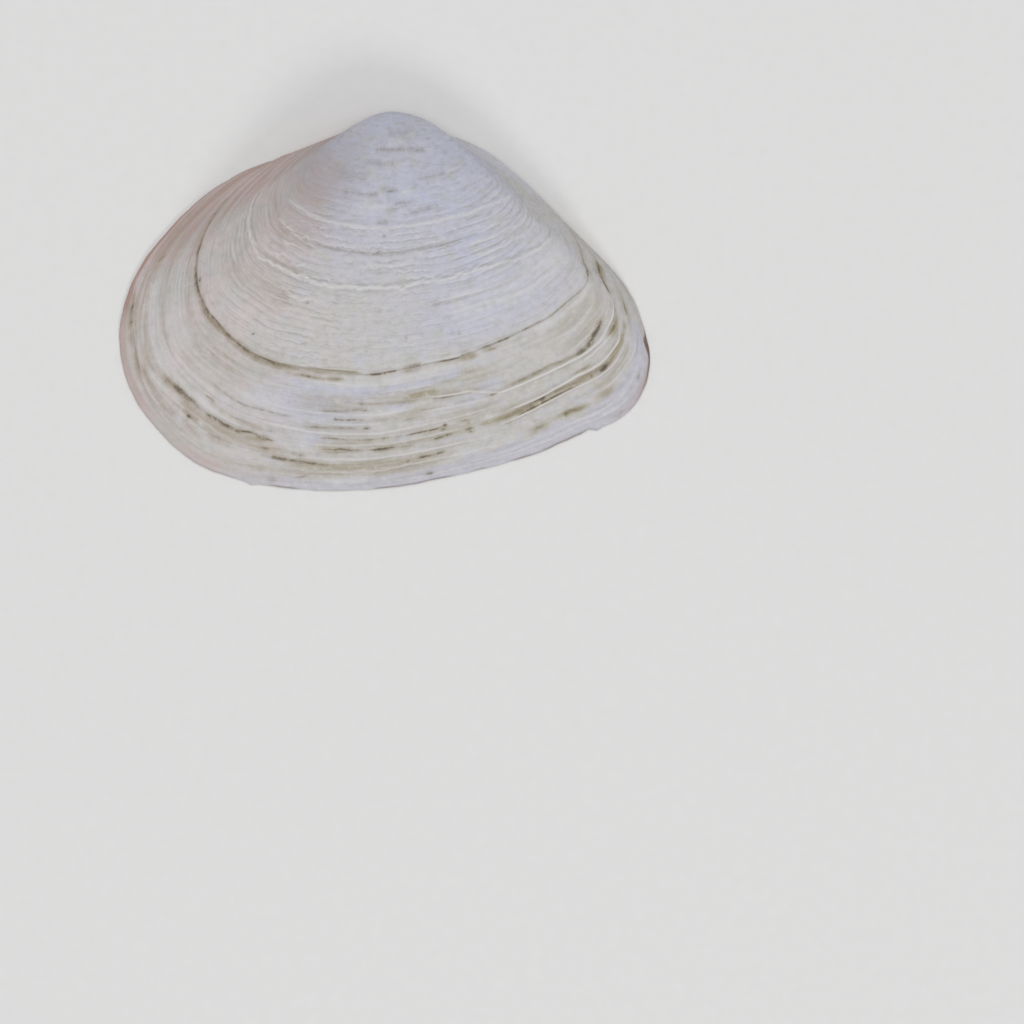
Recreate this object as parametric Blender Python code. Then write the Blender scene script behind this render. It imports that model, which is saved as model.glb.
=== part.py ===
# A clam valve: one half of the shell, lying on its rim with its outside up.
# The shell grew at its edge. Each growth line is the edge of a younger shell, drawn smaller and turned
# about the hinge, so the whole outside follows from the edge, the turn and a few ledges.
# +X is the rear end, -X the front end and +Y the hinge side. The origin is on the ground under the middle.
import bmesh
import bpy
import numpy as np
from mathutils import Vector
from mathutils.bvhtree import BVHTree

MM = 0.001

# The edge, clockwise from the beak: where it is in the grown shell, and how far from there it lay in the
# young shell, at the winter ring, when that is drawn as large as the grown one.
# In millimetres, from the point on the hinge that the shell coils about.
EDGE = [
    (0.0, -0.5, 0.0, 0.0),
    (3.55, -1.35, 0.1, 0.4),
    (9.8, -4.9, 0.3, 1.0),
    (16.3, -10.45, 0.3, 0.4),
    (20.1, -14.7, 0.8, -0.1),
    (21.65, -20.5, 1.2, 1.3),
    (20.3, -24.1, 0.0, 1.7),
    (17.9, -25.75, 0.3, 1.3),
    (15.95, -26.4, -0.1, 0.7),
    (11.55, -28.25, -0.3, 0.6),
    (6.05, -29.75, -0.4, 0.5),
    (-2.6, -31.2, -0.1, 0.4),
    (-12.05, -30.6, -0.2, 1.1),
    (-17.3, -28.65, 0.0, 1.2),
    (-22.15, -23.4, 0.0, 0.4),
    (-23.4, -18.35, 0.6, 0.2),
    (-22.05, -12.9, 0.5, -0.3),
    (-16.5, -6.4, 0.5, -0.1),
    (-12.7, -4.05, 0.3, 0.0),
    (-7.9, -2.45, 0.3, -0.3),
    (-3.15, -1.05, 0.0, -0.1),
]
EDGE_STEPS = 40
COIL_AXIS = (0.89 * MM, 15.16 * MM)

# Growth is given by the size of the edge: 1 at the rim, and near 0 at the tip of the beak
COIL = 0.73
TIP = 0.035
TIP_POINT = 0.75
WINTER_RING = 0.72

# The shell up to the winter ring stands above what grew after it, and the ring is a groove at its foot
YOUNG_RISE = 0.2 * MM
RING_DEPTH = 0.16 * MM
RING_WIDTH = 0.008

# The rear shoulder swells out over the hinge margin: growth and half length in growth, then the same along
# the edge (0 to 1 from the beak)
SHOULDER_RISE = 0.47 * MM
SHOULDER_GROWTH = (0.665, 0.35)
SHOULDER_ALONG = (0.138, 0.073)

# Growth ledges: growth, height, width in growth, middle and reach along the edge
LEDGES = [
    (0.390, 0.05 * MM, 0.012, 0.45, 0.22),
    (0.524, 0.09 * MM, 0.012, 0.50, 0.26),
    (0.827, 0.12 * MM, 0.010, 0.35, 0.14),
    (0.870, 0.13 * MM, 0.009, 0.31, 0.10),
    (0.905, 0.06 * MM, 0.012, 0.62, 0.14),
    (0.945, 0.06 * MM, 0.012, 0.65, 0.15),
]

# The outside is plain near the hinge, up to these depths from it, and in the last growth at the rim
HINGE_CLEAR = (0.2 * MM, 2.0 * MM)
RIM_CLEAR = 0.98

# Rim and wall
LIP = 0.3 * MM
EDGE_HEIGHT = 0.12 * MM
EDGE_ROUND = 0.12 * MM
RIM_WIDTH = 1.0 * MM
HINGE_WIDTH = 2.2 * MM
HINGE_REACH = 0.07
WALL = 0.8 * MM
STEEPEST = 0.35
BOWL_SLOPE = 1.8
BOWL_BLEND = 0.5 * MM
FLOOR_SLOPE = 0.08
FLOOR_BLEND = 0.2 * MM
BOWL_STEP = 0.1 * MM
BOWL_MIDDLE = (-0.6 * MM, -16.5 * MM)

# The socket in the hinge plate, with two small teeth in it: place from the coil axis, and half sizes
SOCKET = (0.3 * MM, -1.45 * MM)
SOCKET_SIZE = (2.7 * MM, 0.62 * MM)
SOCKET_FLAT = 0.55
SOCKET_DEPTH = 0.6 * MM
TEETH = [
    (-0.55 * MM, -0.35),
    (0.95 * MM, 0.45),
]
TOOTH_WIDTH = 0.3 * MM
TOOTH_TOP = 0.12 * MM

# Mesh density
COLUMNS = 80
HINGE_DENSITY = 3.0
RIM_ROWS = 6
BOWL_ROWS = 14
BOWL_CROWDING = 1.4

CHALK = (0.66, 0.64, 0.62, 1.0)
ROUGHNESS = 0.75
SHARP_ANGLE = 40.0


def clear_scene():
    for old in list(bpy.data.objects):
        bpy.data.objects.remove(old, do_unlink=True)


def ramp(value, start, end):
    """0 at the start, 1 at the end, smooth between."""
    part = np.clip((value - start) / (end - start), 0.0, 1.0)
    return part * part * (3.0 - 2.0 * part)


def swell(value, middle, width):
    """1 in the middle, falling smoothly to 0 at about twice the width."""
    return np.exp(-(((value - middle) / width) ** 2))


def closed_curve(points):
    """A smooth closed curve through the points, centripetal so that it keeps close to them."""
    before, here = np.roll(points, 1, 0), points
    after, beyond = np.roll(points, -1, 0), np.roll(points, -2, 0)

    def span(a, b):
        return np.sqrt(np.linalg.norm(b - a, axis=1))[:, None]

    first, middle, last = span(before, here), span(here, after), span(after, beyond)
    leave = after - here + middle * ((here - before) / first - (after - before) / (first + middle))
    arrive = after - here + middle * ((beyond - after) / last - (beyond - here) / (middle + last))
    t = (np.arange(EDGE_STEPS) / EDGE_STEPS)[None, :, None]
    curve = (
        (2 * t**3 - 3 * t**2 + 1) * here[:, None]
        + (t**3 - 2 * t**2 + t) * leave[:, None]
        + (3 * t**2 - 2 * t**3) * after[:, None]
        + (t**3 - t**2) * arrive[:, None]
    )
    return curve.reshape(-1, 2)


def edge_columns():
    """The grown and the young edge at each column, and how far along the grown edge the column is."""
    rows = np.array(EDGE) * MM
    grown = closed_curve(rows[:, :2])
    young = closed_curve(rows[:, :2] + rows[:, 2:])
    steps = np.linalg.norm(np.roll(grown, -1, 0) - grown, axis=1)
    along = np.concatenate([[0.0], np.cumsum(steps)]) / steps.sum()
    middle = (along[1:] + along[:-1]) / 2
    from_beak = np.minimum(middle, 1.0 - middle)
    weight = np.diff(along) * (1.0 + (HINGE_DENSITY - 1.0) * swell(from_beak, 0.0, HINGE_REACH))
    reached = np.concatenate([[0.0], np.cumsum(weight)]) / weight.sum()
    place = np.interp(np.arange(COLUMNS) / COLUMNS, reached, np.arange(len(reached)))

    def pick(curve):
        ends = np.vstack([curve, curve[:1]])
        index = np.arange(len(ends))
        return np.stack([np.interp(place, index, ends[:, axis]) for axis in (0, 1)], axis=1)

    return pick(grown), pick(young), np.interp(place, np.arange(len(along)), along)


def growth_rows():
    """The growth of each row of the outside, close together at the beak and at every ledge."""
    rows = set(np.geomspace(TIP, 0.36, 11))
    rows |= set(np.linspace(0.4, 1.0, 15))
    for ledge, _, width, _, _ in LEDGES:
        rows |= {ledge - 1.6 * width, ledge, ledge + 1.6 * width}
    rows |= {WINTER_RING + step * RING_WIDTH for step in (-2.5, -0.8, 0.6, 1.6, 3.0)}
    ordered = sorted(rows)
    kept = [row for row, following in zip(ordered, ordered[1:]) if following - row > 0.006]
    return np.array(kept + [1.0])


def broad_rise(growth, along):
    """How far the young shell and the rear shoulder stand above the plain coiled form."""
    young = 1.0 - ramp(growth, WINTER_RING - RING_WIDTH, WINTER_RING + RING_WIDTH)
    shoulder = swell(growth, *SHOULDER_GROWTH) * swell(along, *SHOULDER_ALONG)
    return YOUNG_RISE * young * ramp(growth, 0.0, 0.15) + SHOULDER_RISE * shoulder


def ledge_rise(growth, along):
    """The height of the growth ledges, less the groove of the winter ring."""
    height = -RING_DEPTH * swell(growth, WINTER_RING + 1.4 * RING_WIDTH, RING_WIDTH)
    for ledge, rise, width, middle, reach in LEDGES:
        height = height + rise * swell(growth, ledge, width) * ramp(np.abs(along - middle), reach, 0.6 * reach)
    return height


def outside(grown, young, along, ledges=True):
    """The outside as rows of points from the tip of the beak to the rim."""
    growth = growth_rows()[:, None]
    blend = np.clip((growth - WINTER_RING) / (1.0 - WINTER_RING), 0.0, 1.0)[..., None]
    edge = (young * (1.0 - blend) + grown * blend) * growth[..., None]
    turn = COIL * np.log(1.0 / growth)
    points = np.stack(
        [edge[..., 0], edge[..., 1] * np.cos(turn), -edge[..., 1] * np.sin(turn)], axis=-1
    )
    across = np.roll(points, -1, 1) - np.roll(points, 1, 1)
    outward = np.cross(across, np.gradient(points, axis=0))
    outward /= np.linalg.norm(outward, axis=-1, keepdims=True)
    height = broad_rise(growth, along[None, :])
    if ledges:
        height = height + ledge_rise(growth, along[None, :])
    clear = ramp(-edge[..., 1], *HINGE_CLEAR) * (1.0 - ramp(growth, RIM_CLEAR, 1.0))
    points = points + outward * (height * clear)[..., None]
    points[..., 2] += LIP
    return points


def sideways(curve, distance):
    """The closed curve moved into the shell by a distance given for each point."""
    tangent = np.roll(curve, -1, 0) - np.roll(curve, 1, 0)
    tangent /= np.linalg.norm(tangent, axis=1, keepdims=True)
    return curve + np.stack([tangent[:, 1], -tangent[:, 0]], axis=1) * distance[:, None]


def socket_height(points):
    """How far the hinge plate is hollowed out above the rim plane, less the two teeth in the hollow."""
    x, y = points[:, 0] - SOCKET[0], points[:, 1] - SOCKET[1]
    fall = np.sqrt((x / SOCKET_SIZE[0]) ** 2 + (y / SOCKET_SIZE[1]) ** 2)
    height = SOCKET_DEPTH * (1.0 - ramp(fall, SOCKET_FLAT, 1.0))
    for start, lean in TEETH:
        tooth = swell(points[:, 0], start + lean * (SOCKET[1] - points[:, 1]), TOOTH_WIDTH)
        height = height - np.maximum(height - TOOTH_TOP, 0.0) * tooth
    return height


def rim(grown, along):
    """Rows from the foot of the outside, round the edge and over the flat rim to the start of the bowl."""
    from_beak = np.minimum(along, 1.0 - along)
    width = RIM_WIDTH + (HINGE_WIDTH - RIM_WIDTH) * swell(from_beak, 0.0, HINGE_REACH)
    rows = [np.c_[grown, np.full(len(grown), EDGE_HEIGHT)]]
    for part in np.linspace(0.0, 1.0, RIM_ROWS):
        flat = sideways(grown, EDGE_ROUND + (width - EDGE_ROUND) * part)
        rows.append(np.c_[flat, socket_height(flat)])
    return np.array(rows)


def bowl(start, shell):
    """Rows of the inside, from the rim to the middle: the outside less the wall, steep at the rim."""
    middle = np.array(BOWL_MIDDLE)
    rows = []
    for part in np.linspace(0.0, 1.0, BOWL_ROWS + 1)[1:-1]:
        part = part**BOWL_CROWDING
        plan = start + (middle - start) * part
        reach = np.linalg.norm(plan - start, axis=1)
        height = [bowl_height(shell, place, depth) for place, depth in zip(plan, reach)]
        rows.append(np.c_[plan, height])
    peak = [*middle, bowl_height(shell, middle, np.linalg.norm(start - middle, axis=1).min())]
    return np.array(rows), peak


def bowl_height(shell, place, reach):
    """The height of the inside over a place that is so far from the rim."""
    above = Vector((place[0], place[1], 1.0))
    hit, normal, _, _ = shell.ray_cast(above, Vector((0.0, 0.0, -1.0)))
    under = hit.z - WALL / max(abs(normal.z), STEEPEST)
    steep = BOWL_SLOPE * reach
    low = FLOOR_SLOPE * reach
    height = 0.5 * (under + steep - np.sqrt((under - steep) ** 2 + BOWL_BLEND**2))
    height = 0.5 * (height + low + np.sqrt((height - low) ** 2 + FLOOR_BLEND**2))
    return height - BOWL_STEP * swell(reach, 0.0, MM)


def strips(rows, columns):
    """The four-sided faces between neighbouring closed rows of points."""
    faces = []
    for row in range(rows - 1):
        for column in range(columns):
            following = (column + 1) % columns
            low, high = row * columns, (row + 1) * columns
            faces.append((low + column, low + following, high + following, high + column))
    return faces


def plain_outside(grown, young, along):
    """A search tree of the outside without its ledges, to measure the bowl from."""
    rows = outside(grown, young, along, ledges=False)
    points = [Vector(point) for point in rows.reshape(-1, 3)]
    return BVHTree.FromPolygons(points, strips(len(rows), COLUMNS))


def chalk():
    material = bpy.data.materials.new("chalk")
    material.use_nodes = True
    shader = material.node_tree.nodes["Principled BSDF"]
    shader.inputs["Base Color"].default_value = CHALK
    shader.inputs["Roughness"].default_value = ROUGHNESS
    shader.inputs["Metallic"].default_value = 0.0
    return material


def build_valve():
    grown, young, along = edge_columns()
    upper = outside(grown, young, along)
    under = rim(grown, along)
    inner, peak = bowl(under[-1][:, :2], plain_outside(grown, young, along))
    rows = np.concatenate([upper, under, inner])
    points = rows.reshape(-1, 3)
    faces = strips(len(rows), COLUMNS)

    tip, middle, last = len(points), len(points) + 1, len(points) - COLUMNS
    tip_point = upper[0].mean(axis=0) * (0.0, TIP_POINT, TIP_POINT)
    points = np.vstack([points, tip_point, peak])
    for column in range(COLUMNS):
        following = (column + 1) % COLUMNS
        faces.append((following, column, tip))
        faces.append((last + column, last + following, middle))
    points[:, :2] += COIL_AXIS

    mesh = bpy.data.meshes.new("left_valve")
    mesh.from_pydata(points.tolist(), [], faces)
    body = bmesh.new()
    body.from_mesh(mesh)
    bmesh.ops.triangulate(body, faces=body.faces)
    bmesh.ops.recalc_face_normals(body, faces=body.faces)
    body.to_mesh(mesh)
    body.free()
    mesh.shade_smooth()
    mesh.set_sharp_from_angle(angle=np.radians(SHARP_ANGLE))
    mesh.materials.append(chalk())
    valve = bpy.data.objects.new("left_valve", mesh)
    bpy.context.scene.collection.objects.link(valve)
    return valve


clear_scene()
build_valve()
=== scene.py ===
import bpy
import numpy as np
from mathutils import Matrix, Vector
from mathutils.bvhtree import BVHTree


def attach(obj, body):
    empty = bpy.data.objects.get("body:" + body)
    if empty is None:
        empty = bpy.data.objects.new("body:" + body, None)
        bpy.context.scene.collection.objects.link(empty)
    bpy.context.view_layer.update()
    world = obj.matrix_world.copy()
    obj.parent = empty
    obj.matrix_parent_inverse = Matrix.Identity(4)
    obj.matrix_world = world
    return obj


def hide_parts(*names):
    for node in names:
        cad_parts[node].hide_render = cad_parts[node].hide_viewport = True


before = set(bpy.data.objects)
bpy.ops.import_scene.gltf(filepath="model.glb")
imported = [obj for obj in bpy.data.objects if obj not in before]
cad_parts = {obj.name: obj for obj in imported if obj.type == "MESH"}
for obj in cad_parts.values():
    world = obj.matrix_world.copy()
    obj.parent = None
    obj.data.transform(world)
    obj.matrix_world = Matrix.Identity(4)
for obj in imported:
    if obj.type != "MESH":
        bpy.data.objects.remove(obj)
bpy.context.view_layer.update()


# The camera stands far above the shell and looks straight down on it, with the hinge side up in the picture.
# The shell lies to the upper left of the picture's middle, so the camera stands beside it.

MM = 0.001
PICTURE_WIDTH = 87.1 * MM
VIEW_DISTANCE = 1200 * MM
PICTURE_MIDDLE = (10.84 * MM, -17.92 * MM)
NEAREST_SEEN = 50 * MM

camera = bpy.data.objects.new("camera", bpy.data.cameras.new("camera"))
camera.location = (*PICTURE_MIDDLE, VIEW_DISTANCE)
camera.data.lens = camera.data.sensor_width * VIEW_DISTANCE / PICTURE_WIDTH
camera.data.clip_start = NEAREST_SEEN
bpy.context.scene.collection.objects.link(camera)
bpy.context.scene.camera = camera
bpy.context.scene.view_settings.view_transform = "Standard"


# The ground is a wide sheet of pale matt card, laid flat. Nothing of it belongs to the shell.
# Its grain is too fine to see, and only keeps the shadow's edge from looking drawn.

CARD_COLOUR = (0.90, 0.89, 0.875, 1.0)
CARD_SHADE = (0.86, 0.85, 0.835, 1.0)
CARD_ROUGHNESS = 0.9
CARD_GRAIN = 900.0
CARD_SIZE = 4.0


class Wire:
    """What comes out of a shader socket. Sums, differences and products of wires add their Math nodes."""

    def __init__(self, tree, socket=None):
        self.tree = tree
        self.socket = socket

    def node(self, kind, settings=None, inputs=None, output=0):
        made = self.tree.nodes.new(kind)
        for name, value in (settings or {}).items():
            if name == "stops":
                stops = made.color_ramp.elements
                while len(stops) < len(value):
                    stops.new(1.0)
                for stop, (position, colour) in zip(stops, value):
                    stop.position = position
                    stop.color = colour
            else:
                setattr(made, name, value)
        for name, value in (inputs or {}).items():
            if isinstance(value, Wire):
                self.tree.links.new(value.socket, made.inputs[name])
            else:
                made.inputs[name].default_value = value
        return Wire(self.tree, made.outputs[output])

    def maths(self, operation, *values):
        return self.node("ShaderNodeMath", {"operation": operation}, dict(enumerate(values)))

    def __add__(self, other):
        return self.maths("ADD", self, other)

    def __sub__(self, other):
        return self.maths("SUBTRACT", self, other)

    def __rsub__(self, other):
        return self.maths("SUBTRACT", other, self)

    def __mul__(self, other):
        return self.maths("MULTIPLY", self, other)

    __radd__ = __add__
    __rmul__ = __mul__

    def at_most(self, limit):
        return self.maths("MINIMUM", self, limit)

    def between(self, low, high):
        """0 up to the low value, 1 from the high one, smooth between."""
        settings = {"interpolation_type": "SMOOTHSTEP"}
        return self.node("ShaderNodeMapRange", settings, {0: self, 1: low, 2: high})

    def tint(self, plain, tinted):
        """The plain colour where this is 0 and the tinted one where it is 1."""
        # a Mix node takes its colours in sockets 6 and 7, and gives the mixed one in socket 2
        return self.node("ShaderNodeMix", {"data_type": "RGBA"}, {0: self, 6: plain, 7: tinted}, 2)

    def stretched(self, scale):
        return self.node("ShaderNodeVectorMath", {"operation": "MULTIPLY"}, {0: self, 1: scale})

    def noise(self, scale, detail=2.0, roughness=0.5):
        inputs = {"Vector": self, "Scale": scale, "Detail": detail, "Roughness": roughness}
        return self.node("ShaderNodeTexNoise", {}, inputs)

    def bumps(self, strength, distance):
        inputs = {"Strength": strength, "Distance": distance, "Height": self}
        return self.node("ShaderNodeBump", {}, inputs)

    def attribute(self, name, output="Fac"):
        return self.node("ShaderNodeAttribute", {"attribute_name": name}, {}, output)

    def place(self, scale):
        """The place on the piece, in metres times the scale."""
        return self.node("ShaderNodeTexCoord", {}, {}, "Object").stretched((scale, scale, scale))


def new_material(name, roughness):
    """A material, the inputs of its shader, and a wire to start from."""
    material = bpy.data.materials.new(name)
    material.use_nodes = True
    shader = material.node_tree.nodes["Principled BSDF"]
    shader.inputs["Roughness"].default_value = roughness
    return material, shader.inputs, Wire(material.node_tree)


def plug(wire, socket):
    wire.tree.links.new(wire.socket, socket)


card, card_inputs, bench = new_material("pale_card", CARD_ROUGHNESS)
grain = bench.place(CARD_GRAIN).noise(1.0, 3.0)
plug(grain.tint(CARD_COLOUR, CARD_SHADE), card_inputs["Base Color"])

half = CARD_SIZE / 2
corners = [(-half, -half, 0.0), (half, -half, 0.0), (half, half, 0.0), (-half, half, 0.0)]
ground_mesh = bpy.data.meshes.new("ground")
ground_mesh.from_pydata(corners, [], [(0, 1, 2, 3)])
ground_mesh.materials.append(card)
ground = bpy.data.objects.new("ground", ground_mesh)
bpy.context.scene.collection.objects.link(ground)


# The light is a wide soft box over the camera and a smaller one low on the belly side.
# The second one brings out the growth ridges, which are bright on the side of the rim.

# each light has its place and its width in metres, and its power in watts
LIGHTS = [
    ("soft_box_above", (-0.02, 0.2, 1.1), 0.9, 4.75),
    ("soft_box_belly_side", (0.2, -0.8, 0.6), 0.3, 2.1),
]
ROOM_COLOUR = (0.95, 0.97, 1.0, 1.0)
ROOM_LIGHT = 0.385

for light_name, light_place, light_size, light_power in LIGHTS:
    lamp = bpy.data.lights.new(light_name, "AREA")
    lamp.shape = "DISK"
    lamp.size = light_size
    lamp.energy = light_power
    soft_box = bpy.data.objects.new(light_name, lamp)
    soft_box.location = light_place
    soft_box.rotation_mode = "QUATERNION"
    soft_box.rotation_quaternion = (-Vector(light_place)).to_track_quat("-Z", "Y")
    bpy.context.scene.collection.objects.link(soft_box)

room = bpy.data.worlds.new("room")
room.use_nodes = True
room.node_tree.nodes["Background"].inputs["Color"].default_value = ROOM_COLOUR
room.node_tree.nodes["Background"].inputs["Strength"].default_value = ROOM_LIGHT
bpy.context.scene.world = room


# The valve's outside: it grew at its edge, so each growth line is the edge of a younger shell, drawn
# smaller and turned about the hinge. The edge, the turn and the winter ring are those of the CAD part.
# Up to the winter ring the shell stands a little above what grew after it.

# each point of the edge, clockwise from the beak, and its shift for the edge of the young shell, in mm
EDGE = [
    (0.0, -0.5, 0.0, 0.0),
    (3.55, -1.35, 0.1, 0.4),
    (9.8, -4.9, 0.3, 1.0),
    (16.3, -10.45, 0.3, 0.4),
    (20.1, -14.7, 0.8, -0.1),
    (21.65, -20.5, 1.2, 1.3),
    (20.3, -24.1, 0.0, 1.7),
    (17.9, -25.75, 0.3, 1.3),
    (15.95, -26.4, -0.1, 0.7),
    (11.55, -28.25, -0.3, 0.6),
    (6.05, -29.75, -0.4, 0.5),
    (-2.6, -31.2, -0.1, 0.4),
    (-12.05, -30.6, -0.2, 1.1),
    (-17.3, -28.65, 0.0, 1.2),
    (-22.15, -23.4, 0.0, 0.4),
    (-23.4, -18.35, 0.6, 0.2),
    (-22.05, -12.9, 0.5, -0.3),
    (-16.5, -6.4, 0.5, -0.1),
    (-12.7, -4.05, 0.3, 0.0),
    (-7.9, -2.45, 0.3, -0.3),
    (-3.15, -1.05, 0.0, -0.1),
]
EDGE_STEPS = 60
COIL_AXIS = (0.89 * MM, 15.16 * MM)
COIL = 0.73
WINTER_RING = 0.72
# the groove of the winter ring, as thousandths of the edge from the beak and of the growth
WINTER_GROOVE = [(165, 830), (200, 763), (233, 718), (250, 711), (265, 716), (300, 709), (330, 704),
    (367, 708), (390, 711), (410, 717), (437, 714), (470, 713), (506, 717), (530, 712), (550, 714),
    (570, 722), (589, 724), (629, 725), (642, 722), (657, 717), (673, 713), (691, 717), (704, 720),
    (715, 728), (739, 739), (770, 743), (788, 753), (807, 771), (845, 788)]
RING_STEP = (-0.004, 0.006)
YOUNG_RISE = 0.2 * MM
SHOULDER_RISE = 0.47 * MM
SHOULDER_GROWTH = (0.665, 0.35)
SHOULDER_ALONG = (0.138, 0.073)
LIP = 0.3 * MM
# where the rises start and are full: from the beak, from the hinge and in from the rim
BEAK_FADE = (0.0, 0.15)
HINGE_FADE = (0.2 * MM, 2.0 * MM)
RIM_FADE = (1.0, 0.98)
# the columns of the mesh stand closer on the belly side, and its rows closer on the later shell
COLUMNS = 330
BELLY_DENSITY = 2.2
BELLY_START = (0.17, 0.23)
BELLY_END = (0.84, 0.76)
TIP = 0.02
BEAK_ROWS = (0.10, 12)
GROWTH_STEPS = [(0.30, 0.009), (0.70, 0.0042), (0.745, 0.0023), (0.925, 0.0020), (1.0, 0.0028)]


def ramp(value, start, end):
    """0 at the start, 1 at the end, smooth between. The end may be the lower one."""
    part = np.clip((value - start) / (end - start), 0.0, 1.0)
    return part * part * (3.0 - 2.0 * part)


def swell(value, middle, width):
    """1 in the middle, falling smoothly to 0 at about twice the width."""
    return np.exp(-(((value - middle) / width) ** 2))


def closed_curve(points):
    """A smooth closed curve through the points, centripetal so that it keeps close to them."""
    before, here = np.roll(points, 1, 0), points
    after, beyond = np.roll(points, -1, 0), np.roll(points, -2, 0)

    def span(a, b):
        return np.sqrt(np.linalg.norm(b - a, axis=1))[:, None]

    first, middle, last = span(before, here), span(here, after), span(after, beyond)
    leave = after - here + middle * ((here - before) / first - (after - before) / (first + middle))
    arrive = after - here + middle * ((beyond - after) / last - (beyond - here) / (middle + last))
    t = (np.arange(EDGE_STEPS) / EDGE_STEPS)[None, :, None]
    curve = (
        (2 * t**3 - 3 * t**2 + 1) * here[:, None]
        + (t**3 - 2 * t**2 + t) * leave[:, None]
        + (3 * t**2 - 2 * t**3) * after[:, None]
        + (t**3 - t**2) * arrive[:, None]
    )
    return curve.reshape(-1, 2)


def edge_columns():
    """The grown and the young edge at each column, and how far along the grown edge the column is."""
    rows = np.array(EDGE) * MM
    grown = closed_curve(rows[:, :2])
    young = closed_curve(rows[:, :2] + rows[:, 2:])
    steps = np.linalg.norm(np.roll(grown, -1, 0) - grown, axis=1)
    along = np.concatenate([[0.0], np.cumsum(steps)]) / steps.sum()
    middle = (along[1:] + along[:-1]) / 2
    belly = ramp(middle, *BELLY_START) * ramp(middle, *BELLY_END)
    weight = np.diff(along) * (1.0 + (BELLY_DENSITY - 1.0) * belly)
    reached = np.concatenate([[0.0], np.cumsum(weight)]) / weight.sum()
    place = np.interp(np.arange(COLUMNS) / COLUMNS, reached, np.arange(len(reached)))

    def pick(curve):
        ends = np.vstack([curve, curve[:1]])
        index = np.arange(len(ends))
        return np.stack([np.interp(place, index, ends[:, axis]) for axis in (0, 1)], axis=1)

    return pick(grown), pick(young), np.interp(place, np.arange(len(along)), along)


def growth_rows():
    """The growth of each row of the outside: close at the beak, and closest on the later shell."""
    rows = list(np.geomspace(TIP, *BEAK_ROWS))
    for end, step in GROWTH_STEPS:
        count = int(np.ceil((end - rows[-1]) / step))
        rows.extend(np.linspace(rows[-1], end, count + 1)[1:])
    return np.array(rows)


def trace(path):
    """The growth that a path of thousandths runs through at each column."""
    places, sizes = np.array(path).T / 1000
    return np.interp(along, places, sizes)


grown_edge, young_edge, edge_along = edge_columns()
growth = growth_rows()[:, None]
along = np.broadcast_to(edge_along[None, :], (len(growth), COLUMNS))
grown_share = np.clip((growth - WINTER_RING) / (1.0 - WINTER_RING), 0.0, 1.0)[..., None]
edge_there = young_edge * (1.0 - grown_share) + grown_edge * grown_share
turn = COIL * np.log(1.0 / growth)
outside = np.stack(
    [
        edge_there[..., 0] * growth,
        edge_there[..., 1] * growth * np.cos(turn),
        -edge_there[..., 1] * growth * np.sin(turn),
    ],
    axis=-1,
)
across = np.roll(outside, -1, 1) - np.roll(outside, 1, 1)
outward = np.cross(across, np.gradient(outside, axis=0))
outward /= np.linalg.norm(outward, axis=-1, keepdims=True)

clear_of_hinge = ramp(-edge_there[..., 1] * growth, *HINGE_FADE)
inside_rim = clear_of_hinge * ramp(growth, *RIM_FADE)
ring_there = trace(WINTER_GROOVE)
young = ramp(growth, ring_there + RING_STEP[1], ring_there + RING_STEP[0])
young_rise = YOUNG_RISE * young * ramp(growth, *BEAK_FADE) * inside_rim
shoulder_rise = SHOULDER_RISE * swell(growth, *SHOULDER_GROWTH) * swell(along, *SHOULDER_ALONG) * inside_rim
plain_outside = outside + outward * shoulder_rise[..., None]


# The growth lines: ledges and grooves in the chalk where the clam stopped growing for a while, and the
# ragged edges of the thin sheets that it laid down. The sea wore the crests and left the hollows.

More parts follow.
